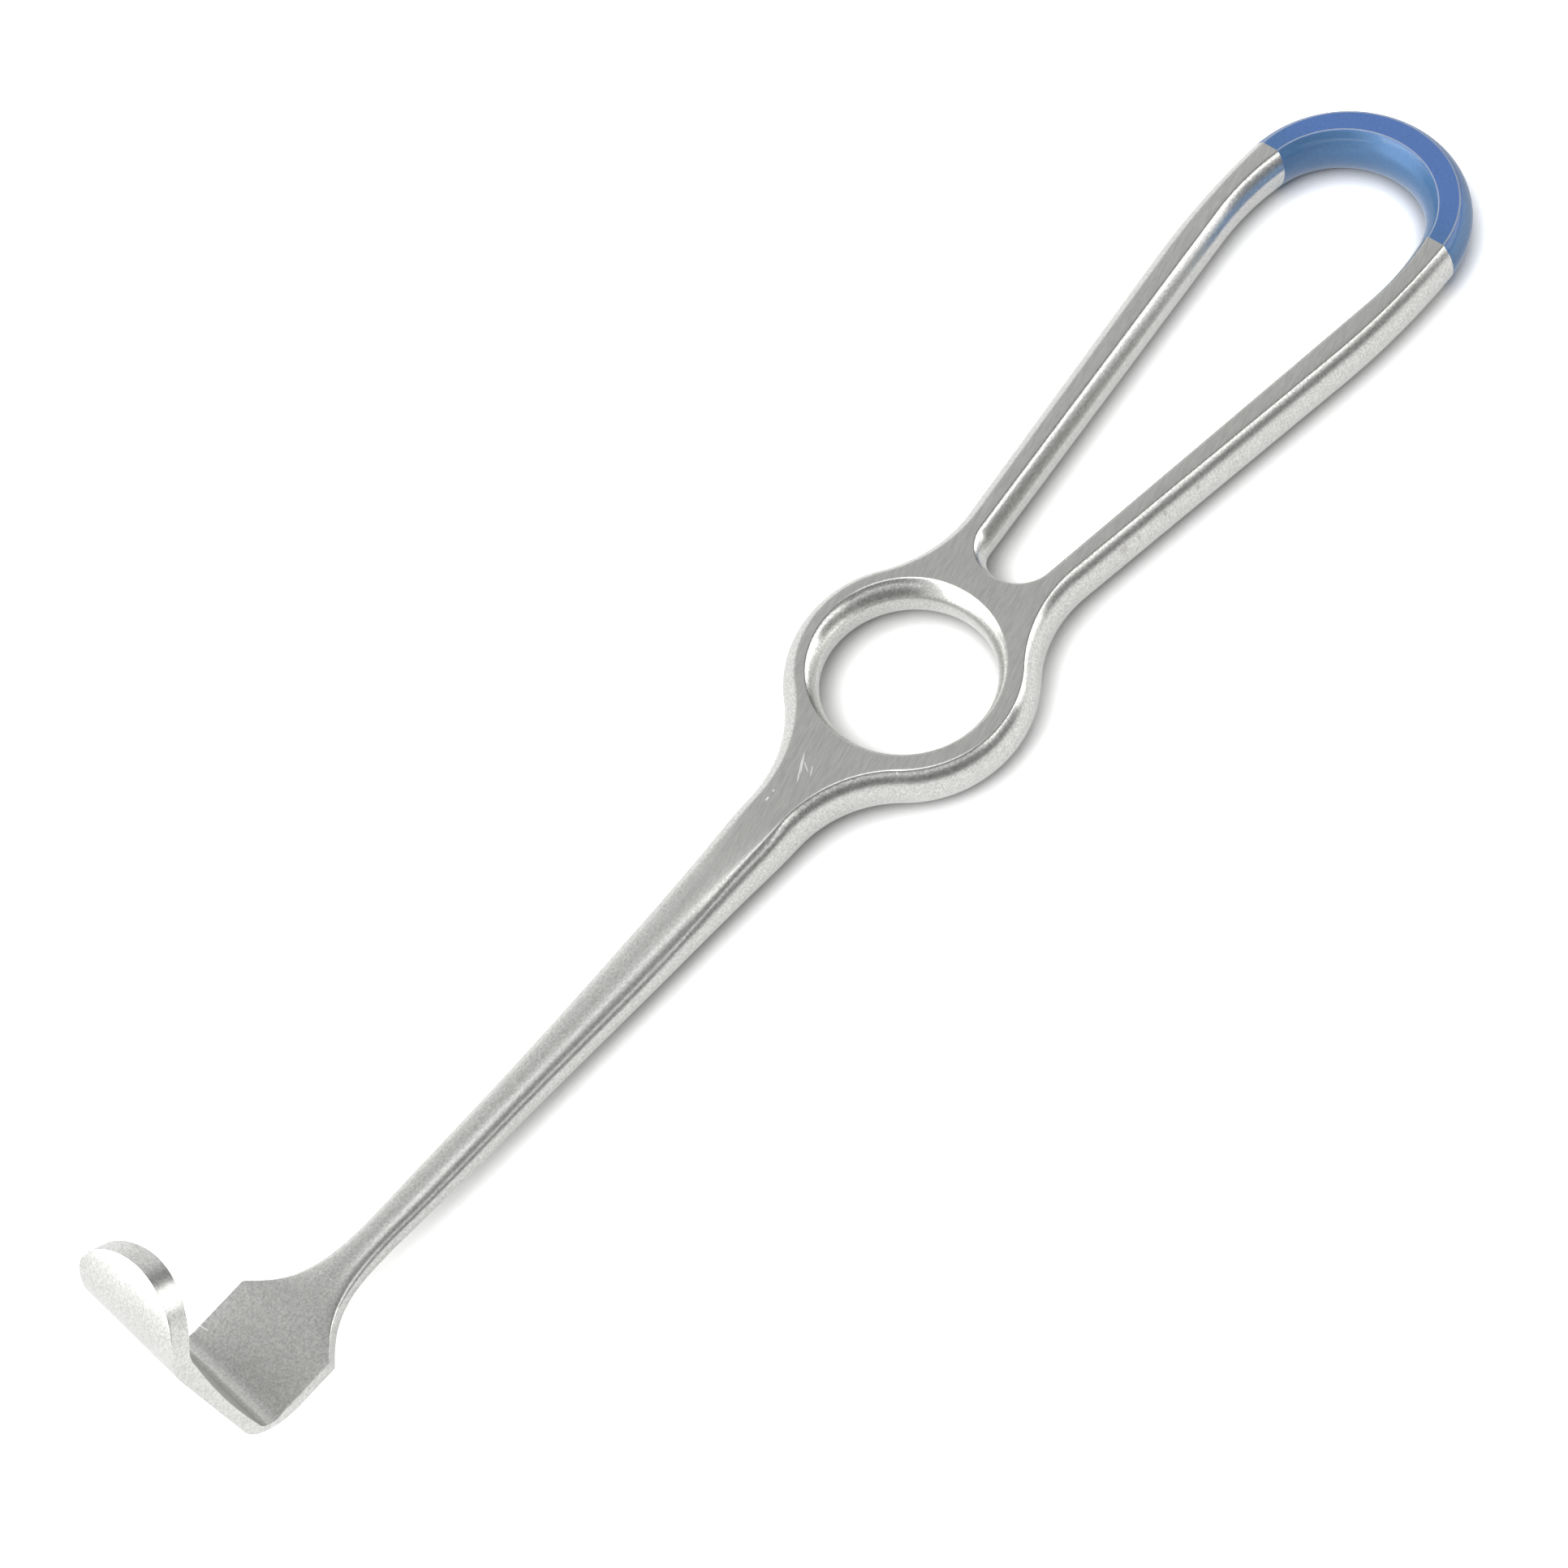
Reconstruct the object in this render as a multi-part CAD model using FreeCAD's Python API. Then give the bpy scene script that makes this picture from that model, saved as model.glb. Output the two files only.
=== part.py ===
import FreeCAD, Part
import math
import os

# Handheld surgical retractor, in millimetres.
# +X runs from the blade to the closed end of the handle loop, Y is across, Z is up.
# The origin is the centre of the finger ring on the flat underside that the handle rests on.

# Handle: a flat forging with bowed sides
handleThickness = 7.6
outerBow = 1.85
innerBow = 1.25

# Finger ring, measured at the creases of the flat face; it is ground thinner on the +Y side
ringHoleRadius = 12.0
ringFlatNarrow = 1.2
ringFlatWide = 1.9

# Loop arms: where their outer edge lies at one place along X, and the width of the flat there
armX = 30.0
armOuterY = 8.2
armFlat = 1.6
waistRadius = 19.0
loopStartX = 15.4

# Closed end of the loop; a long arc on each side leans into the round end by the angle given
endX = 98.9
endOuterRadius = 13.9
endFlat = 3.05
endSideFlat = 2.2
sideOuterRadius = 115.0
sideOuterLean = 2.5
sideInnerRadius = 40.0
sideInnerLean = 10.4

# Neck, where the flat handle turns into the round shaft
neckX = -24.0
neckFlat = 2.2

# Coloured coat over the closed end of the loop; under it the bowed sides are kept as plain flats
coatX = 86.0
coatThickness = 0.15
flatsUnderCoat = 3

# Shaft stations: place along X, half width, height of the middle, half thickness,
# crown of the top and bottom, roundness of the sides
shaftStations = [
    (-25.5, 4.03, 3.79, 3.77, 0.01, 0.50),
    (-31.0, 3.80, 3.67, 3.57, 0.07, 0.55),
    (-46.0, 3.26, 3.46, 2.99, 0.36, 0.46),
    (-66.0, 2.62, 3.76, 2.52, 0.38, 0.45),
    (-85.0, 2.27, 4.45, 2.10, 0.38, 0.45),
]

# Flare: the shaft spreads along an arc to the corners of the flat strip
flareX = -92.0
flareHalfWidth = 2.25
flareStations = [
    (0.00, 4.97, 1.88, 0.36, 0.46),
    (0.40, 5.48, 1.64, 0.23, 0.50),
    (0.75, 5.96, 1.36, 0.06, 0.30),
]

# Strip that becomes the blade
stripX = -102.6
stripHalfWidth = 7.1
stripTop = 7.4
stripThickness = 2.2
bendOuterRadius = 6.0
bendInnerRadius = 2.1
bladeX = -113.6
bladeThickness = 1.6
bladeHollow = 0.4
lipZ = 31.6
lipThickness = 2.1
lipRadius = 12.7
lipAngle = 54.0
tipThickness = 2.5
tipRounding = 6.0


def vec(x, y, z=0.0):
    return FreeCAD.Vector(x, y, z)


def turned(v, degrees):
    a = math.radians(degrees)
    return vec(v.x * math.cos(a) - v.y * math.sin(a), v.x * math.sin(a) + v.y * math.cos(a))


def mirrored(v):
    return vec(v.x, -v.y, v.z)


# Side profile from start to end: an arc standing out of its chord by the vector given,
# or as many chords of that arc as there are flats
def bow(start, end, out, flats=0):
    if out.Length == 0:
        return Part.Wire(Part.LineSegment(start, end).toShape())
    arc = Part.Arc(start, (start + end) / 2 + out, end).toShape()
    return Part.makePolygon(arc.discretize(Number=flats + 1)) if flats else Part.Wire(arc)


# Closed section across the shaft: crowned top and bottom, bowed sides
def section(x, half_width, middle, half_thickness, crown, roundness, flats=0):
    shared = 1 - crown * roundness
    y = (half_width - roundness * half_thickness) / shared
    z = (half_thickness - crown * half_width) / shared
    left_top, right_top = vec(x, -y, middle + z), vec(x, y, middle + z)
    left_low, right_low = vec(x, -y, middle - z), vec(x, y, middle - z)
    lift, spread = vec(0, 0, half_thickness - z), vec(0, half_width - y, 0)
    return Part.Wire([
        bow(left_top, right_top, lift),
        bow(right_top, right_low, spread, flats),
        bow(right_low, left_low, lift * -1),
        bow(left_low, left_top, spread * -1, flats),
    ])


# Edge of one arm: straight from the waist, then a long arc, then the round end, each tangent to the next
class Arm:
    def __init__(self, y, end_centre, end_radius, side_radius, lean, shift):
        joint = turned(vec(0, 1), -lean)
        self.end_centre = end_centre
        self.side_centre = end_centre - joint * (side_radius - end_radius)
        reach = self.side_centre - vec(armX, y)
        angle = math.degrees(math.atan2(reach.y, reach.x) + math.asin(side_radius / reach.Length))
        self.along, self.out = turned(vec(1, 0), angle), turned(vec(0, 1), angle)
        self.distance = vec(armX, y).dot(self.out) + shift
        self.arm_end = self.side_centre + self.out * (side_radius + shift)
        self.side_end = end_centre + joint * (end_radius + shift)

    def at(self, u, beyond=0.0):
        return self.along * u + self.out * (self.distance + beyond)

    def pieces(self, start):
        return [
            (start, self.arm_end, None),
            (self.arm_end, self.side_end, self.side_centre),
            (self.side_end, mirrored(self.side_end), self.end_centre),
        ]


# Pieces of an outline on the +Y side, each (start, end, centre or None for a straight one)
def outer_pieces(inset, ring_flat):
    end_centre = vec(endX - endOuterRadius, 0)
    arm = Arm(armOuterY, end_centre, endOuterRadius, sideOuterRadius, sideOuterLean, -inset)
    ring = ringHoleRadius + ring_flat - inset
    neck = neckFlat - inset
    neck_radius = (neckX ** 2 + neck ** 2 - ring ** 2) / (2 * (ring - neck))
    neck_centre = vec(neckX, neck + neck_radius)
    waist = waistRadius + inset
    u = math.sqrt((ring + waist) ** 2 - (arm.distance + waist) ** 2)
    waist_centre = arm.at(u, waist)
    on_ring = [c * (ring / c.Length) for c in (neck_centre, waist_centre)]
    return [
        (vec(neckX, neck), on_ring[0], neck_centre),
        (on_ring[0], on_ring[1], vec(0, 0)),
        (on_ring[1], arm.at(u), waist_centre),
    ] + arm.pieces(arm.at(u))


def inner_pieces(inset):
    radius = endOuterRadius - endSideFlat
    end_centre = vec(endX - endFlat - radius, 0)
    arm = Arm(armOuterY - armFlat, end_centre, radius, sideInnerRadius, sideInnerLean, inset)
    slope = arm.along.y
    nose = loopStartX - inset
    nose_radius = (arm.distance + nose * slope) / (1 - slope)
    nose_centre = vec(nose + nose_radius, 0)
    start = arm.at(nose_centre.dot(arm.along))
    return [(mirrored(start), start, nose_centre)] + arm.pieces(start)


# The whole outline: the +Y pieces, then mirror images of the others, save those that cross the axis
def closed(pieces, others):
    rest = [p for p in others if p[0].y * p[1].y > 0]
    return pieces + [(mirrored(a), mirrored(b), c and mirrored(c)) for a, b, c in rest]


def outer_outline(inset):
    return closed(outer_pieces(inset, ringFlatNarrow), outer_pieces(inset, ringFlatWide))


def inner_outline(inset):
    pieces = inner_pieces(inset)
    return closed(pieces, pieces)


def swing(start, end, centre):
    a, b = start - centre, end - centre
    return math.degrees(math.atan2(a.x * b.y - a.y * b.x, a.dot(b)))


# Edge of the flat face at one height
def rim(piece, z):
    start, end, centre = piece
    lift = vec(0, 0, z)
    if centre is None:
        return Part.LineSegment(start + lift, end + lift).toShape()
    middle = centre + turned(start - centre, swing(*piece) / 2)
    return Part.Arc(start + lift, middle + lift, end + lift).toShape()


# Bowed side standing on one piece of the outline; outward is away from the metal
def side(piece, outward, amount, low, high, flats):
    start, end, centre = piece
    profile = bow(start + vec(0, 0, low), start + vec(0, 0, high), outward * amount, flats)
    if centre is None:
        return profile.extrude(end - start).Faces
    angle = swing(*piece)
    return profile.revolve(centre, vec(0, 0, 1 if angle > 0 else -1), abs(angle)).Faces


def outward_at(piece, metal_below):
    start, end, centre = piece
    if centre is None:
        along = (end - start).normalize()
        up = vec(-along.y, along.x)
        up = up if up.y * start.y > 0 else up * -1
        return up if metal_below else up * -1
    away = (start - centre).normalize()
    # the metal lies inside the arc when the arc bulges away from the middle of the handle
    hollow = (centre.y * start.y > 0) and abs(centre.y) > abs(start.y)
    return away * (-1 if hollow == metal_below else 1)


def wire_at(pieces, z):
    return Part.Wire(Part.__sortEdges__([rim(p, z) for p in pieces]))


# The flat handle with bowed sides; inset shrinks it evenly to leave room for the coat
def handle(inset=0.0, flats=0):
    low, high = inset, handleThickness - inset
    outer, inner = outer_outline(inset), inner_outline(inset)
    neck = neckFlat - inset
    neck_cut = (vec(neckX, -neck), vec(neckX, neck), None)
    hole = ringHoleRadius + inset
    faces = []
    for z in (low, high):
        ring_hole = Part.Wire(Part.makeCircle(hole, vec(0, 0, z)))
        wires = [wire_at(outer + [neck_cut], z), wire_at(inner, z), ring_hole]
        faces.append(Part.makeFace(Part.makeCompound(wires), "Part::FaceMakerBullseye"))
    for piece in outer:
        faces += side(piece, outward_at(piece, True), outerBow, low, high, flats)
    for piece in inner:
        faces += side(piece, outward_at(piece, False), innerBow, low, high, flats)
    wall = bow(vec(hole, 0, low), vec(hole, 0, high), vec(-innerBow, 0), flats)
    faces += wall.revolve(vec(0, 0), vec(0, 0, 1), 360).Faces
    middle, half = handleThickness / 2, handleThickness / 2 - inset
    faces.append(Part.Face(section(neckX, neck + outerBow, middle, half, 0.0, outerBow / half, flats)))
    return Part.Solid(Part.Shell(faces))


def flare_half_width(x):
    run = flareX - stripX
    rise = stripHalfWidth - flareHalfWidth
    radius = (run ** 2 + rise ** 2) / (2 * rise)
    return flareHalfWidth + radius - math.sqrt(radius ** 2 - (flareX - x) ** 2)


def shaft():
    middle = handleThickness / 2
    wires = [section(neckX, neckFlat + outerBow, middle, middle, 0.0, outerBow / middle)]
    wires += [section(*station) for station in shaftStations]
    for part, height, half, crown, roundness in flareStations:
        x = flareX + part * (stripX - flareX)
        wires.append(section(x, flare_half_width(x), height, half, crown, roundness))
    half = stripThickness / 2
    wires.append(section(stripX, stripHalfWidth, stripTop - half, half, 0.0, 0.0))
    return Part.makeLoft(wires, True, False)


# The tip is rounded square to its own chord, which leans less than the very end of the lip
def tip_lean():
    return lipAngle - math.degrees(tipRounding / lipRadius) / 2


# Side view of the strip: flat, bent up to the blade, curled over at the lip
def strip_profile():
    def point(x, z):
        return vec(x, 0, z)

    def arc(start, centre, degrees):
        spin = FreeCAD.Rotation(vec(0, 1, 0), degrees)
        half = FreeCAD.Rotation(vec(0, 1, 0), degrees / 2)
        end = centre + spin.multVec(start - centre)
        return Part.Arc(start, centre + half.multVec(start - centre), end).toShape(), end

    def line(start, end):
        return Part.LineSegment(start, end).toShape()

    bottom = stripTop - stripThickness
    face = bladeX + bladeThickness
    edges = []
    first = point(stripX, bottom)
    heel = point(bladeX + bendOuterRadius, bottom)
    edges.append(line(first, heel))
    bend, back = arc(heel, heel + vec(0, 0, bendOuterRadius), 90)
    lip_out = point(bladeX, lipZ)
    edges += [bend, line(back, lip_out)]
    lip, tip_out = arc(lip_out, lip_out + vec(lipRadius, 0), lipAngle)
    tip_in = tip_out + FreeCAD.Rotation(vec(0, 1, 0), tip_lean()).multVec(vec(tipThickness, 0))
    lip_in = point(bladeX + lipThickness, lipZ)
    dx, dz = tip_in.x - lip_in.x, tip_in.z - lip_in.z
    inner_radius = (dx ** 2 + dz ** 2) / (2 * dx)
    back_lip, _ = arc(lip_in, lip_in + vec(inner_radius, 0), 2 * math.degrees(math.atan2(dx, dz)))
    edges += [lip, line(tip_out, tip_in), back_lip]
    root = point(face, stripTop + bendInnerRadius)
    fillet, top = arc(root, root + vec(bendInnerRadius, 0), -90)
    hollow = Part.Arc(lip_in, (lip_in + root) / 2 - vec(bladeHollow, 0), root).toShape()
    edges += [hollow, fillet, line(top, point(stripX, stripTop)), line(point(stripX, stripTop), first)]
    return edges, tip_out


# What is cut away from the two corners of the tip to leave it rounded
def tip_waste(tip):
    place = FreeCAD.Placement(tip, FreeCAD.Rotation(vec(0, 1, 0), tip_lean()))
    depth = 3 * tipThickness
    block = Part.makeBox(2 * depth, -2 * bladeX, 2 * tipRounding, vec(-depth, bladeX, -tipRounding))
    axes = sorted((tipRounding, stripHalfWidth))
    oval = Part.Ellipse(vec(0, 0), axes[1], axes[0]).toShape()
    column = Part.Face(Part.Wire(oval)).extrude(vec(0, 0, 2 * depth))
    column.rotate(vec(0, 0), vec(0, 0, 1), 90)
    column.rotate(vec(0, 0), vec(0, 1, 0), 90)
    column.translate(vec(-depth, 0, -tipRounding))
    waste = block.cut(column)
    waste.Placement = place
    return waste


def blade():
    edges, tip = strip_profile()
    face = Part.Face(Part.Wire(edges))
    face.translate(vec(0, -stripHalfWidth))
    return face.extrude(vec(0, 2 * stripHalfWidth)).cut(tip_waste(tip))


def build():
    form = handle()
    room = 2 * handleThickness
    end_box = Part.makeBox(endX, 2 * endX, room, vec(coatX, -endX, -handleThickness / 2))
    coat = form.common(end_box).cut(handle(coatThickness, flatsUnderCoat))
    body = form.cut(coat).fuse([shaft(), blade()]).removeSplitter()
    return {"retractor_body": body, "handle_coat": coat}


os.makedirs("parts", exist_ok=True)
for name, shape in build().items():
    solid = shape.Solids[0] if len(shape.Solids) == 1 else shape
    solid.exportStep("parts/" + name + ".step")
    box = solid.BoundBox
    print(name, solid.ShapeType, solid.isValid(), len(solid.Faces), "faces", round(solid.Volume, 1), "mm3",
          [round(v, 2) for v in (box.XMin, box.XMax, box.YMin, box.YMax, box.ZMin, box.ZMax)])
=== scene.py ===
import math
import bmesh
import bpy
import mathutils
import numpy as np
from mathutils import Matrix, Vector


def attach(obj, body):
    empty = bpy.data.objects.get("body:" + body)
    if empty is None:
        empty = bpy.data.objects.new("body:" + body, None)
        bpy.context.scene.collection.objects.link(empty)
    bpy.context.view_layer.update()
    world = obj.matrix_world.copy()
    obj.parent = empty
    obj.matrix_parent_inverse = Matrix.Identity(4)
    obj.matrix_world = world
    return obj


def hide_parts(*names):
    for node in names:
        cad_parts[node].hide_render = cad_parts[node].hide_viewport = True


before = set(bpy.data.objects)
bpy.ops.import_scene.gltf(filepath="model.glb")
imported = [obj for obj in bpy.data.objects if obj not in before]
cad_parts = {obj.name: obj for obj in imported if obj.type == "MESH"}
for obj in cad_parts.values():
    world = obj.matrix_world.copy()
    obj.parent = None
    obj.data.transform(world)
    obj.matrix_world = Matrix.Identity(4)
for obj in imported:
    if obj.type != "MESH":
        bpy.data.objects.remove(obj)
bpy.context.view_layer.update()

scene = bpy.context.scene
scene.view_settings.view_transform = "Standard"


# Short ways to add shader nodes
def newMaterial(name):
    material = bpy.data.materials.new(name)
    material.use_nodes = True
    tree = material.node_tree
    tree.nodes.clear()
    return material, tree


def addNode(tree, kind, values=None, **settings):
    node = tree.nodes.new(kind)
    for key, value in settings.items():
        setattr(node, key, value)
    for key, value in (values or {}).items():
        socket = node.inputs[key]
        if isinstance(value, bpy.types.NodeSocket):
            tree.links.new(value, socket)
        else:
            socket.default_value = value
    return node


def mixColour(tree, factor, first, second, blend="MIX"):
    node = addNode(tree, "ShaderNodeMix", {0: factor, 6: first, 7: second}, data_type="RGBA", blend_type=blend)
    return node.outputs[2]


def mapRange(tree, value, low, high, first, second, shape="LINEAR"):
    node = addNode(tree, "ShaderNodeMapRange", {"Value": value, "From Min": low, "From Max": high,
                   "To Min": first, "To Max": second}, interpolation_type=shape)
    return node.outputs["Result"]


def sums(tree, operation, *values):
    return addNode(tree, "ShaderNodeMath", dict(enumerate(values)), operation=operation).outputs[0]


def vectorSums(tree, operation, *values, result="Vector"):
    return addNode(tree, "ShaderNodeVectorMath", dict(enumerate(values)), operation=operation).outputs[result]


# Camera, at the angle the picture was taken from
camera = {
    "place": (-0.1027581, -0.1232410, 0.2868171),
    "turn": (27.08783, 7.56873, -47.94614),
    "lens": 62.75075,
    "sensorWidth": 36.0,
}


def addCamera():
    data = bpy.data.cameras.new("camera")
    data.lens = camera["lens"]
    data.sensor_width = camera["sensorWidth"]
    eye = bpy.data.objects.new("camera", data)
    eye.location = camera["place"]
    eye.rotation_euler = [math.radians(a) for a in camera["turn"]]
    scene.collection.objects.link(eye)
    scene.camera = eye
    print("camera placed")


# Studio: a white table, a pale room that is dim in front, and six soft panels
studio = {
    "tableColour": (0.97, 0.97, 0.97, 1.0),
    "tableSeen": (2.00, 2.00, 2.00, 1.0),       # its tone straight to the camera, so only close shadows show
    "tableMirrored": 0.30,                      # share of plain white that metal and gloss see in it
    "tableSize": 3.0,
    "shadowReach": 0.0045,                      # how far from a foot the painted close shadow goes
    "shadowDepth": (0.30, 0.92, 0.22),          # open share where it is darkest and where it ends, darkest tone
    "frontAzimuth": 288.0,
    "frontEdge": (-0.10, 0.25),                 # how far round the dim front reaches, as a cosine
    # tone of the room by height, 0 at the horizon and 1 straight up
    "roomBack": [(0.0, 0.88), (0.28, 0.72), (0.64, 0.66), (0.80, 0.50), (0.90, 0.43), (1.0, 0.58)],
    "roomFront": [(0.0, 0.14), (0.45, 0.15), (0.65, 0.20), (0.80, 0.28), (0.90, 0.40), (1.0, 0.58)],
    "panels": {
        "keyPanel": {"azimuth": 185.0, "elevation": 62.0, "distance": 2.0, "size": (0.8, 0.8), "radiance": 3.5},
        "leftPanel": {"azimuth": 152.0, "elevation": 29.0, "distance": 1.3, "size": (1.3, 1.1), "radiance": 3.0},
        "rightPanel": {"azimuth": 331.0, "elevation": 17.0, "distance": 1.1, "size": (0.74, 0.46), "radiance": 2.2},
        "cornerPanel": {"azimuth": 295.0, "elevation": 25.5, "distance": 1.1, "size": (0.60, 0.17), "radiance": 2.3},
        "frontPanel": {"azimuth": 240.0, "elevation": 27.0, "distance": 0.9, "size": (1.3, 0.10), "radiance": 1.2},
        "topPanel": {"azimuth": 250.0, "elevation": 70.0, "distance": 1.3, "size": (0.60, 0.62), "radiance": 1.0},
    },
}


def compass(azimuth, elevation=0.0, distance=1.0):
    a, e = math.radians(azimuth), math.radians(elevation)
    return Vector((math.cos(a) * math.cos(e), math.sin(a) * math.cos(e), math.sin(e))) * distance


def addTable():
    half = studio["tableSize"] / 2
    mesh = bpy.data.meshes.new("table")
    mesh.from_pydata([(-half, -half, 0), (half, -half, 0), (half, half, 0), (-half, half, 0)], [], [(0, 1, 2, 3)])
    table = bpy.data.objects.new("table", mesh)
    scene.collection.objects.link(table)
    material, tree = newMaterial("tableWhite")
    path = addNode(tree, "ShaderNodeLightPath").outputs
    openShare = addNode(tree, "ShaderNodeAmbientOcclusion", {"Distance": studio["shadowReach"]},
                        samples=8).outputs["AO"]
    low, high, dark = studio["shadowDepth"]
    # painted shadow: to the camera the floor's tone is darkened near the object's feet, by how open the floor is there
    close = mixColour(tree, 1.0, studio["tableSeen"], mapRange(tree, openShare, low, high, dark, 1.0), "MULTIPLY")
    tone = mixColour(tree, path["Is Camera Ray"], studio["tableColour"], close)
    paint = addNode(tree, "ShaderNodeBsdfDiffuse", {"Color": tone})
    glow = addNode(tree, "ShaderNodeEmission", {"Color": (1, 1, 1, 1), "Strength": 1.0})
    mirrored = sums(tree, "MAXIMUM", path["Is Glossy Ray"], path["Is Transmission Ray"])
    share = sums(tree, "MULTIPLY", mirrored, studio["tableMirrored"])
    mixed = addNode(tree, "ShaderNodeMixShader", {0: share, 1: paint.outputs[0], 2: glow.outputs[0]})
    addNode(tree, "ShaderNodeOutputMaterial", {"Surface": mixed.outputs[0]})
    mesh.materials.append(material)
    print("table laid")


def heightRamp(tree, height, steps):
    ramp = addNode(tree, "ShaderNodeValToRGB", {0: height})
    elements = ramp.color_ramp.elements
    while len(elements) < len(steps):
        elements.new(0.5)
    for element, (place, value) in zip(elements, steps):
        element.position = place
        element.color = (value, value, value, 1.0)
    return ramp.outputs["Color"]


def addRoom():
    world = bpy.data.worlds.new("studio")
    world.use_nodes = True
    tree = world.node_tree
    tree.nodes.clear()
    where = addNode(tree, "ShaderNodeTexCoord").outputs["Generated"]
    height = addNode(tree, "ShaderNodeSeparateXYZ", {0: where}).outputs["Z"]
    facing = vectorSums(tree, "DOT_PRODUCT", where, compass(studio["frontAzimuth"]), result="Value")
    front = mapRange(tree, facing, *studio["frontEdge"], 0.0, 1.0, "SMOOTHSTEP")
    mixed = mixColour(tree, front, heightRamp(tree, height, studio["roomBack"]),
                      heightRamp(tree, height, studio["roomFront"]))
    cameraRay = addNode(tree, "ShaderNodeLightPath").outputs["Is Camera Ray"]
    mixed = mixColour(tree, cameraRay, mixed, (1, 1, 1, 1))     # white where the camera looks past the table
    sky = addNode(tree, "ShaderNodeBackground", {"Color": mixed, "Strength": 1.0})
    addNode(tree, "ShaderNodeOutputWorld", {"Surface": sky.outputs[0]})
    scene.world = world
    print("room lit")


def addPanels():
    for name, panel in studio["panels"].items():
        data = bpy.data.lights.new(name, "AREA")
        data.shape = "RECTANGLE"
        data.size, data.size_y = panel["size"]
        data.energy = panel["radiance"] * math.pi * data.size * data.size_y
        lamp = bpy.data.objects.new(name, data)
        lamp.location = compass(panel["azimuth"], panel["elevation"], panel["distance"])
        lamp.rotation_euler = (-lamp.location).to_track_quat("-Z", "Y").to_euler()
        scene.collection.objects.link(lamp)
    print("panels hung")


# Small shader groups that both finishes share
def newGroup(name, inputs, outputs):
    tree = bpy.data.node_groups.new(name, "ShaderNodeTree")
    for label, kind in inputs.items():
        tree.interface.new_socket(name=label, in_out="INPUT", socket_type="NodeSocket" + kind)
    for label, kind in outputs.items():
        tree.interface.new_socket(name=label, in_out="OUTPUT", socket_type="NodeSocket" + kind)
    return tree, tree.nodes.new("NodeGroupInput").outputs, tree.nodes.new("NodeGroupOutput").inputs


def useGroup(tree, group, values):
    return addNode(tree, "ShaderNodeGroup", values, node_tree=group).outputs


grainRelief = {
    "detail": 2.0,
    "roughness": 0.6,
    "height": 0.00002,
    "span": (0.3, 0.7),     # the noise between these gives the whole change of tone
}


# Grain of a blasted, brushed or sprayed face: a fine noise that tints and ruffles it
def grainGroup():
    tree, given, result = newGroup("surfaceGrain",
                                   {"Position": "Vector", "Fineness": "Float", "Depth": "Float", "Normal": "Vector"},
                                   {"Grain": "Float", "Normal": "Vector"})
    noise = addNode(tree, "ShaderNodeTexNoise", {"Vector": given["Position"], "Scale": given["Fineness"],
                                                 "Detail": grainRelief["detail"],
                                                 "Roughness": grainRelief["roughness"]})
    bump = addNode(tree, "ShaderNodeBump", {"Height": noise.outputs["Fac"], "Strength": given["Depth"],
                                            "Distance": grainRelief["height"], "Normal": given["Normal"]})
    tree.links.new(noise.outputs["Fac"], result["Grain"])
    tree.links.new(bump.outputs["Normal"], result["Normal"])
    return tree


# Eased crease whose wall can be rolled over: Tilt is the height that the normal gets
def creaseGroup():
    tree, given, result = newGroup("easedCrease", {"Normal": "Vector", "Tilt": "Float"}, {"Normal": "Vector"})
    level = vectorSums(tree, "NORMALIZE", vectorSums(tree, "MULTIPLY", given["Normal"], (1, 1, 0)))
    reach = sums(tree, "SQRT", sums(tree, "SUBTRACT", 1.0, sums(tree, "MULTIPLY", given["Tilt"], given["Tilt"])))
    spread = addNode(tree, "ShaderNodeVectorMath", {0: level, 3: reach}, operation="SCALE").outputs["Vector"]
    upright = addNode(tree, "ShaderNodeCombineXYZ", {2: given["Tilt"]}).outputs[0]
    tree.links.new(vectorSums(tree, "ADD", spread, upright), result["Normal"])
    return tree


# One short scratch or spot on the face: a soft-edged bar at a place, turned and sized
def markGroup():
    tree, given, result = newGroup("shortMark",
                                   {"Position": "Vector", "Place": "Vector", "Turn": "Float", "Length": "Float",
                                    "Width": "Float"}, {"Mask": "Float"})
    offset = vectorSums(tree, "SUBTRACT", given["Position"], given["Place"])
    swung = addNode(tree, "ShaderNodeVectorRotate", {"Vector": offset, "Angle": given["Turn"]},
                    rotation_type="Z_AXIS").outputs[0]
    parts = addNode(tree, "ShaderNodeSeparateXYZ", {0: swung}).outputs
    along = sums(tree, "DIVIDE", sums(tree, "ABSOLUTE", parts[0]), given["Length"])
    across = sums(tree, "DIVIDE", sums(tree, "ABSOLUTE", parts[1]), given["Width"])
    inside = sums(tree, "MULTIPLY", mapRange(tree, along, 0.5, 1.0, 1.0, 0.0, "SMOOTHSTEP"),     # soft ends
                  mapRange(tree, across, 0.2, 1.0, 1.0, 0.0, "SMOOTHSTEP"))                      # and soft sides
    tree.links.new(inside, result["Mask"])
    return tree


surfaceGrain, easedCrease, shortMark = grainGroup(), creaseGroup(), markGroup()


# A value read off a smooth curve through points from 0 to 1
def curveOf(tree, value, points):
    node = addNode(tree, "ShaderNodeFloatCurve", {"Value": value})
    line = node.mapping.curves[0].points
    while len(line) < len(points):
        line.new(0.5, 0.5)
    for point, place in zip(line, points):
        point.location = place
    node.mapping.update()
    return node.outputs[0]


# The height of a normal, rolled by a curve above the middle of the wall and left alone below it
def rolledTilt(tree, height, points):
    upper = curveOf(tree, sums(tree, "MAXIMUM", height, 0.0), points)
    return sums(tree, "ADD", upper, sums(tree, "MINIMUM", height, 0.0))


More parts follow.
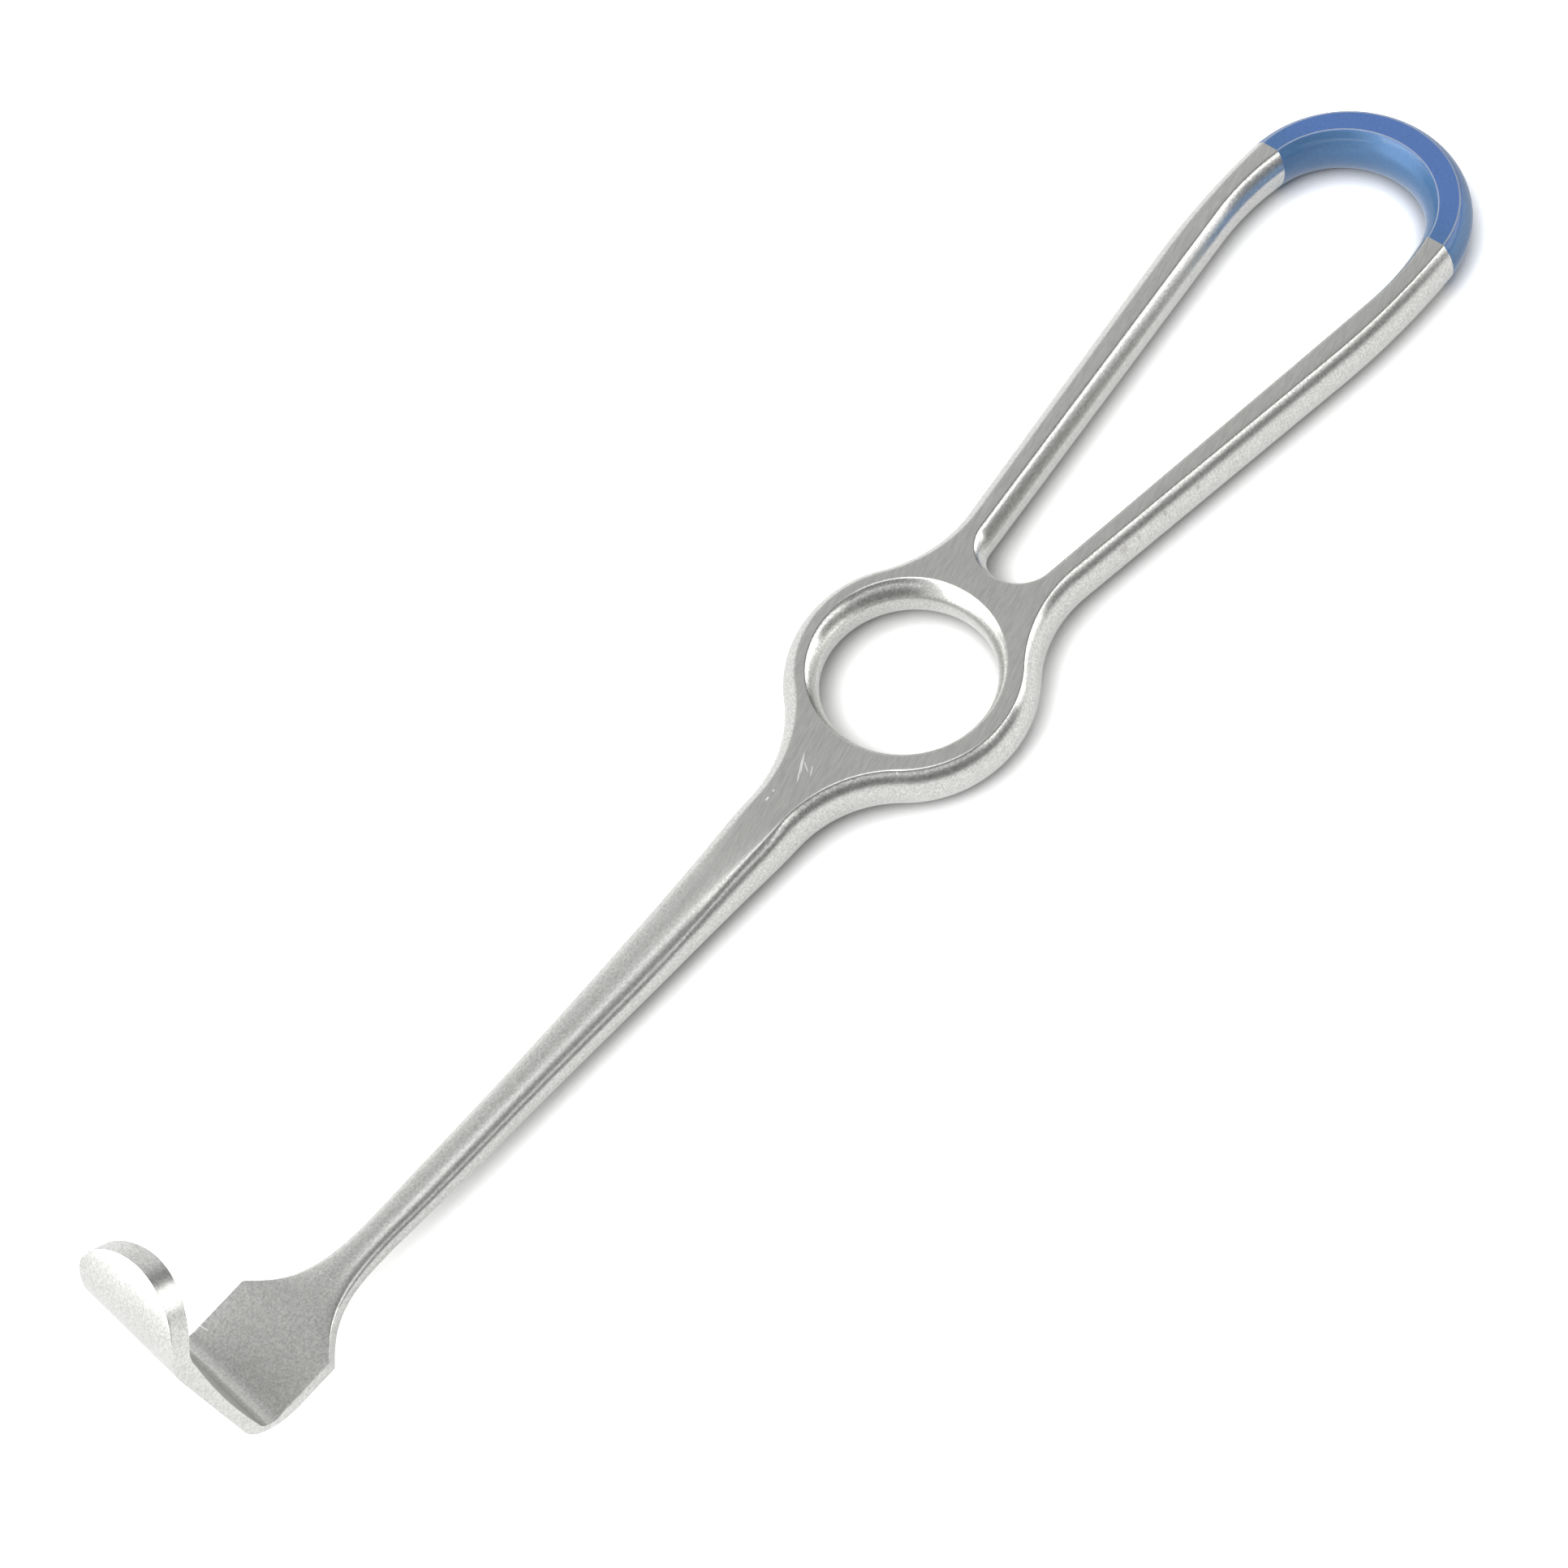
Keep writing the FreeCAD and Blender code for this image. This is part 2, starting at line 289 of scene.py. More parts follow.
# Sizes of the forging, in millimetres, the same as its solid's
forging = {
    "thickness": 7.6, "outerBow": 1.85, "innerBow": 1.25,
    "ringHole": 12.0, "ringFlatNarrow": 1.2, "ringFlatWide": 1.9,
    "arm": (30.0, 8.2), "armFlat": 1.6, "waistRadius": 19.0, "loopStart": 15.4,
    "end": 98.9, "endRadius": 13.9, "endFlat": 3.05, "endSideFlat": 2.2,
    "outerSide": (115.0, 2.5), "innerSide": (40.0, 10.4),
    "neck": (-24.0, 2.2),
    "creaseSoftness": 0.13, "creaseInset": 0.32,    # how far the edge of each flat is eased
    "edgeStep": 0.6, "edgeTurn": 4.0, "holeTurn": 2.5, "shaftStep": 0.7,    # spacing of the rows of points
    "flatSteps": 16, "sideSteps": 40,               # points across the flats and down the sides
}
# Shaft, at some places along it: place, half width, middle, half thickness, crown, roundness, corner softness
shaftSections = [
    (-25.5, 4.03, 3.79, 3.77, 0.01, 0.50, 0.15),
    (-31.0, 3.80, 3.67, 3.57, 0.07, 0.55, 0.32),
    (-46.0, 3.26, 3.46, 2.99, 0.36, 0.46, 0.50),
    (-66.0, 2.62, 3.76, 2.52, 0.38, 0.45, 0.50),
    (-85.0, 2.27, 4.45, 2.10, 0.38, 0.45, 0.46),
]
# Flare, where the shaft widens into the blade's strip
flare = {
    "start": -92.0, "halfWidth": 2.25,
    "sections": [       # share of its length, middle, half thickness, crown, roundness, corner softness
        (0.00, 4.97, 1.88, 0.36, 0.46, 0.40),
        (0.40, 5.48, 1.64, 0.23, 0.50, 0.28),
        (0.75, 5.96, 1.36, 0.06, 0.30, 0.16),
    ],
}
# Blade: the flat strip, its bend, the upright wall and the curled lip
blade = {
    "start": -102.6, "halfWidth": 7.1, "top": 7.4, "thickness": 2.2,
    "bendOuter": 6.0, "bendInner": 2.1, "back": -113.6, "wall": 1.6, "hollow": 0.4,
    "lipStart": 31.6, "lipWall": 2.1, "lipRadius": 12.7, "lipAngle": 54.0, "tipWall": 2.5, "tipRound": 6.0,
    "softness": 0.08, "inset": 0.25,
    "bendLead": 1.2,                        # how far the bend's rows fan out on the inner side
    "rows": (8, 28, 30, 9), "tipRows": 26,  # rows on the strip, the bend, the wall, the lip and its round tip
}
millimetre = 0.001
mirrorY = np.array([1.0, -1.0])
arcPoints, hollowPoints = 400, 300


def turned(v, degrees):
    a = math.radians(degrees)
    return np.array([v[0] * math.cos(a) - v[1] * math.sin(a), v[0] * math.sin(a) + v[1] * math.cos(a)])


def swing(start, end, centre):
    a, b = start - centre, end - centre
    return math.degrees(math.atan2(a[0] * b[1] - a[1] * b[0], a @ b))


# Edge of one arm: a straight run, a long arc and the round end, each tangent to the next
def armEdge(y, endCentre, endRadius, side):
    sideRadius, lean = side
    joint = turned(np.array([0.0, 1.0]), -lean)
    sideCentre = endCentre - joint * (sideRadius - endRadius)
    reach = sideCentre - np.array([forging["arm"][0], y])
    angle = math.degrees(math.atan2(reach[1], reach[0]) + math.asin(sideRadius / np.linalg.norm(reach)))
    along, out = turned(np.array([1.0, 0.0]), angle), turned(np.array([0.0, 1.0]), angle)
    distance = np.array([forging["arm"][0], y]) @ out
    armEnd, sideEnd = sideCentre + out * sideRadius, endCentre + joint * endRadius

    def pieces(start):
        return [(start, armEnd, None), (armEnd, sideEnd, sideCentre), (sideEnd, sideEnd * mirrorY, endCentre)]
    return along, out, distance, pieces


def outerEdge(ringFlat):
    endCentre = np.array([forging["end"] - forging["endRadius"], 0.0])
    along, out, distance, pieces = armEdge(forging["arm"][1], endCentre, forging["endRadius"], forging["outerSide"])
    ring = forging["ringHole"] + ringFlat
    neckX, neck = forging["neck"]
    neckRadius = (neckX ** 2 + neck ** 2 - ring ** 2) / (2 * (ring - neck))
    neckCentre = np.array([neckX, neck + neckRadius])
    waist = forging["waistRadius"]
    u = math.sqrt((ring + waist) ** 2 - (distance + waist) ** 2)
    waistCentre = along * u + out * (distance + waist)
    onRing = [c * (ring / np.linalg.norm(c)) for c in (neckCentre, waistCentre)]
    armStart = along * u + out * distance
    return [(np.array([neckX, neck]), onRing[0], neckCentre), (onRing[0], onRing[1], np.zeros(2)),
            (onRing[1], armStart, waistCentre)] + pieces(armStart)


def innerEdge():
    radius = forging["endRadius"] - forging["endSideFlat"]
    endCentre = np.array([forging["end"] - forging["endFlat"] - radius, 0.0])
    along, out, distance, pieces = armEdge(forging["arm"][1] - forging["armFlat"], endCentre, radius,
                                           forging["innerSide"])
    slope, nose = along[1], forging["loopStart"]
    noseRadius = (distance + nose * slope) / (1 - slope)
    noseCentre = np.array([nose + noseRadius, 0.0])
    start = along * (noseCentre @ along) + out * distance
    return [(start * mirrorY, start, noseCentre)] + pieces(start)


# The pieces of the +Y side, then those of the other side on the way back
def roundTrip(pieces, others):
    back = [(b * mirrorY, a * mirrorY, None if c is None else c * mirrorY)
            for a, b, c in reversed(others) if a[1] * b[1] > 0]
    return pieces + back


# Points along an outline and the direction square to it; side is 1 to the left of travel
def walkEdge(pieces, side, closed):
    points, normals = [], []
    for index, (start, end, centre) in enumerate(pieces):
        angle = 0.0 if centre is None else swing(start, end, centre)
        length = np.linalg.norm(end - start) if centre is None else \
            abs(math.radians(angle)) * np.linalg.norm(start - centre)
        count = max(2, math.ceil(length / forging["edgeStep"]), math.ceil(abs(angle) / forging["edgeTurn"]))
        last = index == len(pieces) - 1 and not closed
        for i in range(count + (1 if last else 0)):
            if centre is None:
                points.append(start + (end - start) * i / count)
                heading = (end - start) / np.linalg.norm(end - start)
            else:
                arm = turned(start - centre, angle * i / count)
                points.append(centre + arm)
                heading = turned(arm, 90.0 if angle > 0 else -90.0) / np.linalg.norm(arm)
            normals.append(turned(heading, 90.0) * side)
    return np.array(points), np.array(normals)


# Length run along a line at each of its points, and the points at given lengths along it
def runAlong(line):
    return np.concatenate([[0], np.cumsum(np.linalg.norm(np.diff(line, axis=0), axis=1))])


def pointsAt(line, run, wanted):
    return np.array([np.interp(wanted, run, line[:, i]) for i in (0, 1)]).T


# Even spacing along a line, then a soft blur that eases its corners
def easedLine(line, softness, closed, step=0.02):
    if closed:
        line = np.vstack([line, line[:1]])
    run = runAlong(line)
    count = max(64, int(run[-1] / step))
    places = np.linspace(0, run[-1], count, endpoint=not closed)
    even = pointsAt(line, run, places)
    if closed:
        waves = np.fft.fft(even[:, 0] + 1j * even[:, 1])
        waves *= np.exp(-2 * (math.pi * softness * np.fft.fftfreq(count, run[-1] / count)) ** 2)
        even = np.fft.ifft(waves)
        return places, np.stack([even.real, even.imag], axis=1)
    reach = int(4 * softness / (run[-1] / count)) + 1
    kernel = np.exp(-0.5 * (np.arange(-reach, reach + 1) * (run[-1] / count) / softness) ** 2)
    kernel /= kernel.sum()
    ends = [even[0] + (even[0] - even[1]) * np.arange(reach, 0, -1)[:, None],
            even[-1] + (even[-1] - even[-2]) * np.arange(1, reach + 1)[:, None]]
    padded = np.vstack([ends[0], even, ends[1]])
    return places, np.stack([np.convolve(padded[:, i], kernel, "valid") for i in (0, 1)], axis=1)


# Picks points between two places of an eased line, closer together where it turns
def pickPoints(places, line, start, end, count):
    inside = (places >= start) & (places <= end)
    part = line[inside]
    steps = np.diff(part, axis=0)
    length = np.linalg.norm(steps, axis=1)
    heading = np.unwrap(np.arctan2(steps[:, 1], steps[:, 0]))
    turn = np.concatenate([[0], np.abs(np.diff(heading))])
    weight = np.concatenate([[0], np.cumsum(0.65 * turn / max(turn.sum(), 1e-9) + 0.35 * length / length.sum())])
    return pointsAt(part, weight, np.linspace(0, weight[-1], count))


# Arc from start to end whose middle stands off the straight line by lift
def arcLine(start, end, lift, count=160):
    chord = np.linalg.norm(end - start)
    sag = np.linalg.norm(lift)
    if sag < 1e-6:
        return start + (end - start) * np.linspace(0, 1, count)[:, None]
    out = lift / sag
    radius = (chord ** 2 / 4 + sag ** 2) / (2 * sag)
    centre = (start + end) / 2 + out * (sag - radius)
    half = math.asin(min(1.0, chord / 2 / radius))
    half = math.pi - half if sag > radius else half
    angles = np.linspace(-half, half, count)[:, None]
    return centre + (end - start) / chord * np.sin(angles) * radius + out * np.cos(angles) * radius


# Side of the handle seen along its edge, from the top flat to the bottom one: (outwards, height)
def sideProfile(bow):
    half = forging["thickness"] / 2
    s = np.linspace(0, 1, arcPoints)
    low, high = 0.1, 1.5                # slope of the side where it meets the flat
    for _ in range(40):
        edge = (low + high) / 2
        reach = np.trapz(np.tan(edge * s), s) * half
        low, high = (edge, high) if reach < bow else (low, edge)
    lean = np.tan(edge * s)
    fall = np.concatenate([[0], np.cumsum((lean[1:] + lean[:-1]) / 2 * np.diff(s))]) * half
    upper = np.stack([bow - fall, half + s * half], axis=1)[::-1]
    lower = np.stack([bow - fall, half - s * half], axis=1)[1:]
    margin = 1.5                        # length of flat taken along, so that the crease can be eased
    line = np.vstack([[-margin, 2 * half], upper, lower, [-margin, 0.0]])
    places, eased = easedLine(line, forging["creaseSoftness"], False)
    inset = forging["creaseInset"]
    return pickPoints(places, eased, margin - inset, places[-1] - margin + inset, forging["sideSteps"] + 1)


# Half of a closed section, from the middle of the top to the middle of the bottom: (across, up)
def halfSection(halfWidth, halfThick, crown, roundness, softness, inset, topScale=1.0, lowScale=1.0):
    shared = 1 - crown * roundness
    y = (halfWidth - roundness * halfThick) / shared
    z = (halfThick - crown * halfWidth) / shared
    corners = [np.array(c) for c in ((-y, z), (y, z), (y, -z), (-y, -z))]
    lift, spread = np.array([0.0, halfThick - z]), np.array([halfWidth - y, 0.0])
    top = arcLine(corners[0], corners[1], lift)
    right = arcLine(corners[1], corners[2], spread)
    low = arcLine(corners[2], corners[3], -lift)
    left = arcLine(corners[3], corners[0], -spread)
    middle = len(top) // 2
    line = np.vstack([[[0.0, halfThick]], top[middle:-1], right[:-1], low[:-1], left[:-1], top[:middle]])
    places, eased = easedLine(line, softness, True)
    flat, side = runAlong(top)[-1] / 2, runAlong(right)[-1]
    inset = min(inset, flat * 0.45)
    half = forging["flatSteps"] // 2
    a, b = flat - inset, flat + side + inset
    points = np.vstack([pointsAt(eased, places, np.linspace(0, a, half + 1))[:-1],
                        pickPoints(places, eased, a, b, forging["sideSteps"] + 1),
                        pointsAt(eased, places, np.linspace(b, 2 * flat + side, half + 1))[1:]])
    points[:, 0] *= lowScale + (topScale - lowScale) * (points[:, 1] / halfThick + 1) / 2
    points[0, 0] = points[-1, 0] = 0.0
    return points


# A whole closed section from its +Y half, as (y, up)
def wholeSection(half):
    return np.vstack([half, half[-2:0:-1] * np.array([-1.0, 1.0])])


# Smooth curve through values at the given places, with set slopes at both ends
def smoothThrough(places, values, slopes, wanted):
    count = len(places)
    gaps = np.diff(places)
    matrix = np.zeros((count, count))
    right = np.zeros_like(values)
    matrix[0, 0] = matrix[-1, -1] = 1.0
    right[0], right[-1] = slopes
    for i in range(1, count - 1):
        a, b = gaps[i - 1], gaps[i]
        matrix[i, i - 1:i + 2] = b, 2 * (a + b), a
        right[i] = 3 * (b * (values[i] - values[i - 1]) / a + a * (values[i + 1] - values[i]) / b)
    slope = np.linalg.solve(matrix, right.reshape(count, -1)).reshape(values.shape)
    result = []
    for place in wanted:
        i = min(max(np.searchsorted(places, place) - 1, 0), count - 2)
        h = gaps[i]
        t = (place - places[i]) / h
        result.append((2 * t ** 3 - 3 * t ** 2 + 1) * values[i] + (t ** 3 - 2 * t ** 2 + t) * h * slope[i]
                      + (3 * t ** 2 - 2 * t ** 3) * values[i + 1] + (t ** 3 - t ** 2) * h * slope[i + 1])
    return np.array(result)


# The side view of the blade: points of the outside and of the inside, paired along its length
def bladeLines():
    b = blade
    bottom = b["top"] - b["thickness"]
    heel = np.array([b["back"] + b["bendOuter"], bottom])
    lipCentre = np.array([b["back"] + b["lipRadius"], b["lipStart"]])
    swept = np.radians(np.linspace(0, b["lipAngle"], arcPoints))
    lipOut = lipCentre + b["lipRadius"] * np.stack([-np.cos(swept), np.sin(swept)], axis=1)
    lean = math.radians(b["lipAngle"] - math.degrees(b["tipRound"] / b["lipRadius"]) / 2)
    tipOut = lipOut[-1]
    tipIn = tipOut + b["tipWall"] * np.array([math.cos(lean), -math.sin(lean)])
    lipIn = np.array([b["back"] + b["lipWall"], b["lipStart"]])
    dx, dz = tipIn - lipIn
    innerRadius = (dx ** 2 + dz ** 2) / (2 * dx)
    inward = np.linspace(0, 2 * math.atan2(dx, dz), arcPoints)
    lipInner = lipIn + innerRadius * np.stack([1 - np.cos(inward), np.sin(inward)], axis=1)
    root = np.array([b["back"] + b["wall"], b["top"] + b["bendInner"]])
    hollow = arcLine(root, lipIn, np.array([-b["hollow"], 0.0]), hollowPoints)
    quarter = np.radians(np.linspace(0, 90, arcPoints))
    bend = heel + b["bendOuter"] * np.stack([-np.sin(quarter), 1 - np.cos(quarter)], axis=1)
    fillet = root + b["bendInner"] * np.stack([1 - np.sin(quarter), -np.cos(quarter)], axis=1)
    innerLine = np.vstack([[b["start"], b["top"]], fillet, hollow[1:], lipInner[1:]])
    outerLine = np.vstack([[b["start"], bottom], bend, lipOut])
    innerRun, outerRun = runAlong(innerLine), runAlong(outerLine)
    # where the strip, the bend, the wall and the lip end, on either side
    innerMarks = [0, innerRun[1] - b["bendLead"], innerRun[arcPoints] + b["bendLead"],
                  innerRun[arcPoints + hollowPoints - 1], innerRun[-1]]
    outerMarks = [0, outerRun[1], outerRun[arcPoints], outerRun[arcPoints + 1], outerRun[-1]]
    lipLength = outerMarks[4] - outerMarks[3]
    rounding = b["tipRound"] / lipLength
    tip = 1 - rounding * (1 - np.sin(np.radians(np.linspace(0, 90, b["tipRows"]))))
    spans = [1.0, 1.0, 1.0, 1 - rounding]
    shares = [np.linspace(0, span, count, endpoint=False) for span, count in zip(spans, b["rows"])]
    shares[3] = np.concatenate([shares[3], tip])
    chord = np.array([math.sin(lean), math.cos(lean)])
    rows = []
    for k, share in enumerate(shares):
        for f in share:
            outside = pointsAt(outerLine, outerRun, outerMarks[k] + f * (outerMarks[k + 1] - outerMarks[k]))
            inside = pointsAt(innerLine, innerRun, innerMarks[k] + f * (innerMarks[k + 1] - innerMarks[k]))
            scales = []                 # the width left by the round tip, on the inner and the outer side
            for point in (inside, outside):
                left = (tipOut - point) @ chord
                part = min(max((b["tipRound"] - left) / b["tipRound"], 0.0), 1.0) if k == 3 else 0.0
                scales.append(math.sqrt(1 - part ** 2))
            rows.append((outside, inside, scales))
    return rows


# Rings of points from the neck along the shaft, the flare and the blade to the tip
def shaftRings():
    neckX, neck = forging["neck"]
    middle = forging["thickness"] / 2
    inset = forging["creaseInset"]
    profile = sideProfile(forging["outerBow"])
    half = forging["flatSteps"] // 2
    across = np.linspace(0, neck - inset, half + 1)
    first = np.vstack([np.stack([across, np.full(half + 1, 2 * middle)], axis=1)[:-1],
                       profile + np.array([neck, 0.0]),
                       np.stack([across[::-1], np.zeros(half + 1)], axis=1)[1:]])
    places, keys = [neckX], [first]
    for x, halfWidth, height, thick, crown, roundness, softness in shaftSections:
        places.append(x)
        keys.append(halfSection(halfWidth, thick, crown, roundness, softness, inset) + np.array([0.0, height]))
    run, rise = blade["start"] - flare["start"], blade["halfWidth"] - flare["halfWidth"]
    radius = (run ** 2 + rise ** 2) / (2 * rise)
    for share, height, thick, crown, roundness, softness in flare["sections"]:
        x = flare["start"] + share * run
        width = flare["halfWidth"] + radius - math.sqrt(radius ** 2 - (flare["start"] - x) ** 2)
        places.append(x)
        keys.append(halfSection(width, thick, crown, roundness, softness, inset) + np.array([0.0, height]))
    thick = blade["thickness"] / 2
    places.append(blade["start"])
    keys.append(halfSection(blade["halfWidth"], thick, 0, 0, blade["softness"], blade["inset"])
                + np.array([0.0, blade["top"] - thick]))
    keys = np.array([wholeSection(key) for key in keys])
    away = -np.array(places)
    slopes = np.zeros((2,) + keys.shape[1:])
    slopes[1, :, 0] = keys[-1][:, 0] / blade["halfWidth"] * (-run) / math.sqrt(radius ** 2 - run ** 2)
    step = forging["shaftStep"]
    wanted = np.concatenate([np.arange(away[0], away[-1] - 0.4, step), [away[-1] - 0.12]])   # one row close to the end
    rings = [np.column_stack([np.full(len(ring), -x), ring]) for x, ring in
             zip(wanted, smoothThrough(away, keys, slopes, wanted))]
    for outside, inside, (topScale, lowScale) in bladeLines():
        up = inside - outside
        thick = np.linalg.norm(up) / 2
        up, centre = up / (2 * thick), (inside + outside) / 2
        ring = wholeSection(halfSection(blade["halfWidth"], thick, 0, 0, blade["softness"], blade["inset"],
                                        topScale, lowScale))
        rings.append(np.column_stack([centre[0] + up[0] * ring[:, 1], ring[:, 0], centre[1] + up[1] * ring[:, 1]]))
    return rings


# Quads between neighbouring rows of points
def addRows(bm, rows, wrapRows, wrapAcross):
    grid = [[bm.verts.new(Vector(p) * millimetre) for p in row] for row in rows]
    for i in range(len(grid) - (0 if wrapRows else 1)):
        a, b = grid[i], grid[(i + 1) % len(grid)]
        for k in range(len(a) - (0 if wrapAcross else 1)):
            j = (k + 1) % len(a)
            bm.faces.new((a[k], a[j], b[j], b[k]))


# Rows of one side's profile, set square to the outline at each of its points
def sweepSide(points, normals, profile):
    return [[(p[0] + n[0] * o, p[1] + n[1] * o, z) for o, z in profile] for p, n in zip(points, normals)]


# The whole forging: its sides swept along the three outlines, the two flats between them, and the rings
def forgingMesh():
    bm = bmesh.new()
    outerSide, innerSide = sideProfile(forging["outerBow"]), sideProfile(forging["innerBow"])
    outer = roundTrip(outerEdge(forging["ringFlatNarrow"]), outerEdge(forging["ringFlatWide"]))
    inner = innerEdge()
    hole = np.radians(np.arange(0, 360, forging["holeTurn"]))
    ring = np.stack([np.cos(hole), np.sin(hole)], axis=1)
    edges = [walkEdge(outer, 1, False) + (outerSide, False),
             walkEdge(roundTrip(inner, inner), -1, True) + (innerSide, True),
             (ring * forging["ringHole"], -ring, innerSide, True)]
    loops = []
    for points, normals, profile, closed in edges:
        rows = sweepSide(points, normals, profile)
        addRows(bm, rows, closed, False)
        loops.append([row[0] for row in rows])
    neckX, neck = forging["neck"]
    half = neck - forging["creaseInset"]
    cut = [(neckX, y, forging["thickness"]) for y in np.linspace(-half, half, forging["flatSteps"] + 1)[1:-1]]
    loops[0] = loops[0] + cut
    flat = [Vector(p) for loop in loops for p in loop]
    triangles = mathutils.geometry.tessellate_polygon([[Vector(p) for p in loop] for loop in loops])
    for height in (forging["thickness"], 0.0):
        verts = [bm.verts.new(Vector((p.x, p.y, height)) * millimetre) for p in flat]
        for triangle in triangles:
            bm.faces.new([verts[i] for i in triangle])
    addRows(bm, shaftRings(), False, True)
    bmesh.ops.remove_doubles(bm, verts=bm.verts, dist=0.000002)
    bmesh.ops.dissolve_degenerate(bm, dist=0.0000005, edges=bm.edges)
    bmesh.ops.recalc_face_normals(bm, faces=bm.faces)
    return bm


# The part of the whole on one side of the line where the lacquer starts, closed at its cuts
def addPart(name, whole, side, material, node):
    bm = whole.copy()
    cut = bmesh.ops.bisect_plane(bm, geom=bm.verts[:] + bm.edges[:] + bm.faces[:], dist=0.0000001,
                                 plane_co=(coat["start"], 0, 0), plane_no=(side, 0, 0), clear_outer=True)
    rim = [e for e in cut["geom_cut"] if isinstance(e, bmesh.types.BMEdge)]
    caps = bmesh.ops.holes_fill(bm, edges=rim, sides=0)["faces"]
    bmesh.ops.recalc_face_normals(bm, faces=bm.faces)
    for face in bm.faces:
        face.smooth = True
    for face in caps:
        face.smooth = False
    for edge in rim:
        edge.smooth = False
    mesh = bpy.data.meshes.new(name)
    bm.to_mesh(mesh)
    bm.free()
    mesh.materials.append(material)
    part = bpy.data.objects.new(name, mesh)
    scene.collection.objects.link(part)
    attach(part, "root")
    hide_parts(node)
    print(name, "built,", len(mesh.vertices), "points")


# Satin steel of the forging: brushed flats on the handle, fine blasting on shaft and blade
steel = {
    "colour": (0.735, 0.735, 0.715, 1.0),
    "shade": (0.675, 0.675, 0.655, 1.0),
    "broadScale": 160.0,            # slow change of tone between those two
    "broadDetail": 3.0,
    "speckle": (0.20, 0.11),        # how much the blasting and the brushing vary the tone
    "grainDepth": 0.03,
    "handleRoughness": 0.25,
    "shaftRoughness": 0.29,
    "flatRoughness": 0.07,          # added on the level faces
    "flatHeights": (0.93, 0.995),   # heights of the normal from which a face counts as level
    "blastFineness": 3600.0,
    "brushFineness": 5200.0,
    "brushTurn": -0.25,             # direction of the brushing, from the handle's length
    "brushStretch": (0.12, 1.0, 1.0),
    "handleEnd": (-0.050, -0.020),  # where the shaft's finish turns into the handle's
    "ringRadius": 0.0121,           # closer to the ring's middle than this is its inner wall
    "loopStart": 0.0148,
    "loopMiddle": (0.022, 0.085),   # the loop's own middle line, which its inner walls face
    # inner walls mirror as if rounder: height of the normal, and the height it gets
    "innerWall": [(0.0, 0.0), (0.07, 0.17), (0.14, 0.41), (0.21, 0.515), (0.28, 0.566), (0.342, 0.595),
                  (0.407, 0.63), (0.47, 0.67), (0.515, 0.72), (0.59, 0.777), (0.75, 0.86), (1.0, 1.0)],
    "innerEnd": (0.055, 0.090, 0.80),   # start and end of where this roll fades along the arms, and what is left
    "scratched": (0.97, 0.97, 0.95, 1.0),
    "stained": (0.42, 0.40, 0.37, 1.0),
    "stainShare": 0.5,
    "scratchRoughness": 0.25,
    "markedAbove": 0.002,           # marks only show on the upper side
    # each mark: middle, turn from +X, half length, half width
    "scratches": [
        ((-0.01816, 0.00056, 0.0076), 2.60, 0.00197, 0.00012),
        ((-0.01725, 0.00095, 0.0076), 2.57, 0.00165, 0.00012),
        ((-0.01740, -0.00059, 0.0076), 2.62, 0.00080, 0.00010),
        ((-0.01739, 0.00025, 0.0076), 2.10, 0.00085, 0.00010),
        ((-0.02326, 0.00108, 0.0076), -0.03, 0.00033, 0.00018),
        ((-0.02203, 0.00121, 0.0076), 0.03, 0.00021, 0.00015),
        ((-0.01138, -0.00851, 0.0076), 0.90, 0.00015, 0.00015),
        ((-0.10898, 0.00655, 0.0074), 1.37, 0.00084, 0.00008),
        ((-0.09614, -0.00034, 0.0074), 0.88, 0.00013, 0.00013),
        ((-0.09645, 0.00110, 0.0074), 0.88, 0.00013, 0.00013),
    ],
    "stains": [
        ((0.02880, -0.00952, 0.0040), 0.04, 0.00074, 0.00030),
        ((0.03119, -0.00983, 0.0040), 0.04, 0.00030, 0.00025),
        ((0.03559, -0.01029, 0.0040), 0.24, 0.00037, 0.00030),
        ((0.04092, -0.01109, 0.0040), 0.04, 0.00038, 0.00025),
    ],
}


# Where any of these marks lies, from 0 to 1
def markMask(tree, where, height, marks):
    found = 0.0
    for place, turn, length, width in marks:
        mask = useGroup(tree, shortMark, {"Position": where, "Place": place, "Turn": turn, "Length": length,
                                          "Width": width})["Mask"]
        found = sums(tree, "MAXIMUM", found, mask)
    return sums(tree, "MULTIPLY", found, sums(tree, "GREATER_THAN", height, steel["markedAbove"]))


